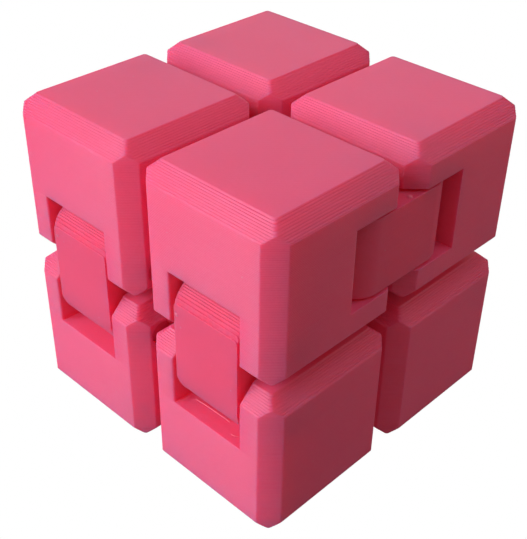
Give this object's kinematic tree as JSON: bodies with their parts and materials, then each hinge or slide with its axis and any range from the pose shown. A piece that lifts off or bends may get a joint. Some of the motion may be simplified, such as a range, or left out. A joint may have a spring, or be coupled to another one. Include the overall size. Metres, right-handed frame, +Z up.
{
  "type": "folding fidget cube",
  "caption": "Folding fidget cube: chamfered cubelets in a closed loop, joined by round-ended hinge links that turn on pins, shown closed as a cube.",
  "frame": {"origin": "under the middle of the closed cube, on the surface that it stands on", "axes": "+Z up, -Y the front face with two upright fold links, +X the right face with the level turn link"},
  "size_m": [0.0414, 0.0414, 0.0414],
  "materials": {
    "cubelet_pla": "FDM-printed pink PLA, satin, visible layer lines",
    "link_pla": "FDM-printed pink PLA, satin, visible layer lines",
    "pin_pla": "smooth pink PLA rod"
  },
  "bodies": {
    "upper_front_right": {"upper_front_right": "cubelet_pla", "upper_front_right_fold_pin": "pin_pla", "upper_front_right_turn_pin": "pin_pla"},
    "upper_front_left": {"upper_front_left": "cubelet_pla", "upper_front_left_fold_pin": "pin_pla", "upper_front_left_turn_pin": "pin_pla"},
    "upper_back_right": {"upper_back_right": "cubelet_pla", "upper_back_right_fold_pin": "pin_pla"},
    "upper_back_left": {"upper_back_left": "cubelet_pla", "upper_back_left_fold_pin": "pin_pla", "upper_back_left_turn_pin": "pin_pla"},
    "lower_front_right": {"lower_front_right": "cubelet_pla", "lower_front_right_fold_pin": "pin_pla", "lower_front_right_book_pin": "pin_pla"},
    "lower_front_left": {"lower_front_left": "cubelet_pla", "lower_front_left_fold_pin": "pin_pla", "lower_front_left_book_pin": "pin_pla"},
    "lower_back_right": {"lower_back_right": "cubelet_pla", "lower_back_right_fold_pin": "pin_pla", "lower_back_right_book_pin": "pin_pla"},
    "lower_back_left": {"lower_back_left": "cubelet_pla", "lower_back_left_fold_pin": "pin_pla", "lower_back_left_book_pin": "pin_pla"},
    "front_right_fold_link": {"front_right_fold_link": "link_pla"},
    "front_left_fold_link": {"front_left_fold_link": "link_pla"},
    "back_right_fold_link": {"back_right_fold_link": "link_pla"},
    "back_left_fold_link": {"back_left_fold_link": "link_pla"},
    "right_turn_link": {"right_turn_link": "link_pla", "upper_back_right_turn_pin": "pin_pla"},
    "left_turn_link": {"left_turn_link": "link_pla"},
    "front_book_link": {"front_book_link": "link_pla"},
    "back_book_link": {"back_book_link": "link_pla"}
  },
  "joints": [
    {"name": "front_fold", "type": "hinge", "parent": "lower_front_right", "child": "front_right_fold_link", "pos_m": [0.0107, -0.0169, 0.0162], "axis": [1, 0, 0], "range_deg": [0, 90]},
    {"name": "front_right_fold_upper", "type": "hinge", "parent": "front_right_fold_link", "child": "upper_front_right", "pos_m": [0.0107, -0.0169, 0.0252], "axis": [1, 0, 0], "range_deg": [0, 90]},
    {"name": "right_turn_front", "type": "hinge", "parent": "upper_front_right", "child": "right_turn_link", "pos_m": [0.0169, -0.0045, 0.0314], "axis": [0, 0, -1], "range_deg": [0, 90]},
    {"name": "book_fold", "type": "hinge", "parent": "lower_front_right", "child": "front_book_link", "pos_m": [0.0045, -0.0107, 0.0038], "axis": [0, -1, 0], "range_deg": [0, 90]},
    {"name": "front_book_left", "type": "hinge", "parent": "front_book_link", "child": "lower_front_left", "pos_m": [-0.0045, -0.0107, 0.0038], "axis": [0, -1, 0], "range_deg": [0, 90]},
    {"name": "front_left_fold_lower", "type": "hinge", "parent": "lower_front_left", "child": "front_left_fold_link", "pos_m": [-0.0107, -0.0169, 0.0162], "axis": [1, 0, 0], "range_deg": [0, 90]},
    {"name": "front_left_fold_upper", "type": "hinge", "parent": "front_left_fold_link", "child": "upper_front_left", "pos_m": [-0.0107, -0.0169, 0.0252], "axis": [1, 0, 0], "range_deg": [0, 90]},
    {"name": "turn_fold", "type": "hinge", "parent": "upper_front_left", "child": "left_turn_link", "pos_m": [-0.0169, -0.0045, 0.0314], "axis": [0, 0, 1], "range_deg": [0, 90]},
    {"name": "left_turn_back", "type": "hinge", "parent": "left_turn_link", "child": "upper_back_left", "pos_m": [-0.0169, 0.0045, 0.0314], "axis": [0, 0, 1], "range_deg": [0, 90]},
    {"name": "back_fold", "type": "hinge", "parent": "upper_back_left", "child": "back_left_fold_link", "pos_m": [-0.0107, 0.0169, 0.0252], "axis": [1, 0, 0], "range_deg": [0, 90]},
    {"name": "back_left_fold_lower", "type": "hinge", "parent": "back_left_fold_link", "child": "lower_back_left", "pos_m": [-0.0107, 0.0169, 0.0162], "axis": [1, 0, 0], "range_deg": [0, 90]},
    {"name": "back_book_left", "type": "hinge", "parent": "lower_back_left", "child": "back_book_link", "pos_m": [-0.0045, 0.0107, 0.0038], "axis": [0, 1, 0], "range_deg": [0, 90]},
    {"name": "back_book_right", "type": "hinge", "parent": "back_book_link", "child": "lower_back_right", "pos_m": [0.0045, 0.0107, 0.0038], "axis": [0, 1, 0], "range_deg": [0, 90]},
    {"name": "back_right_fold_lower", "type": "hinge", "parent": "lower_back_right", "child": "back_right_fold_link", "pos_m": [0.0107, 0.0169, 0.0162], "axis": [-1, 0, 0], "range_deg": [0, 90]},
    {"name": "back_right_fold_upper", "type": "hinge", "parent": "back_right_fold_link", "child": "upper_back_right", "pos_m": [0.0107, 0.0169, 0.0252], "axis": [-1, 0, 0], "range_deg": [0, 90]}
  ],
  "couplings": [
    {"joint": "front_right_fold_upper", "follows": "front_fold", "ratio": 1},
    {"joint": "right_turn_front", "follows": "turn_fold", "ratio": 1},
    {"joint": "front_book_left", "follows": "book_fold", "ratio": 1},
    {"joint": "front_left_fold_lower", "follows": "front_fold", "ratio": 1},
    {"joint": "front_left_fold_upper", "follows": "front_fold", "ratio": 1},
    {"joint": "left_turn_back", "follows": "turn_fold", "ratio": 1},
    {"joint": "back_left_fold_lower", "follows": "back_fold", "ratio": 1},
    {"joint": "back_book_left", "follows": "book_fold", "ratio": 1},
    {"joint": "back_book_right", "follows": "book_fold", "ratio": 1},
    {"joint": "back_right_fold_lower", "follows": "back_fold", "ratio": 1},
    {"joint": "back_right_fold_upper", "follows": "back_fold", "ratio": 1}
  ]
}
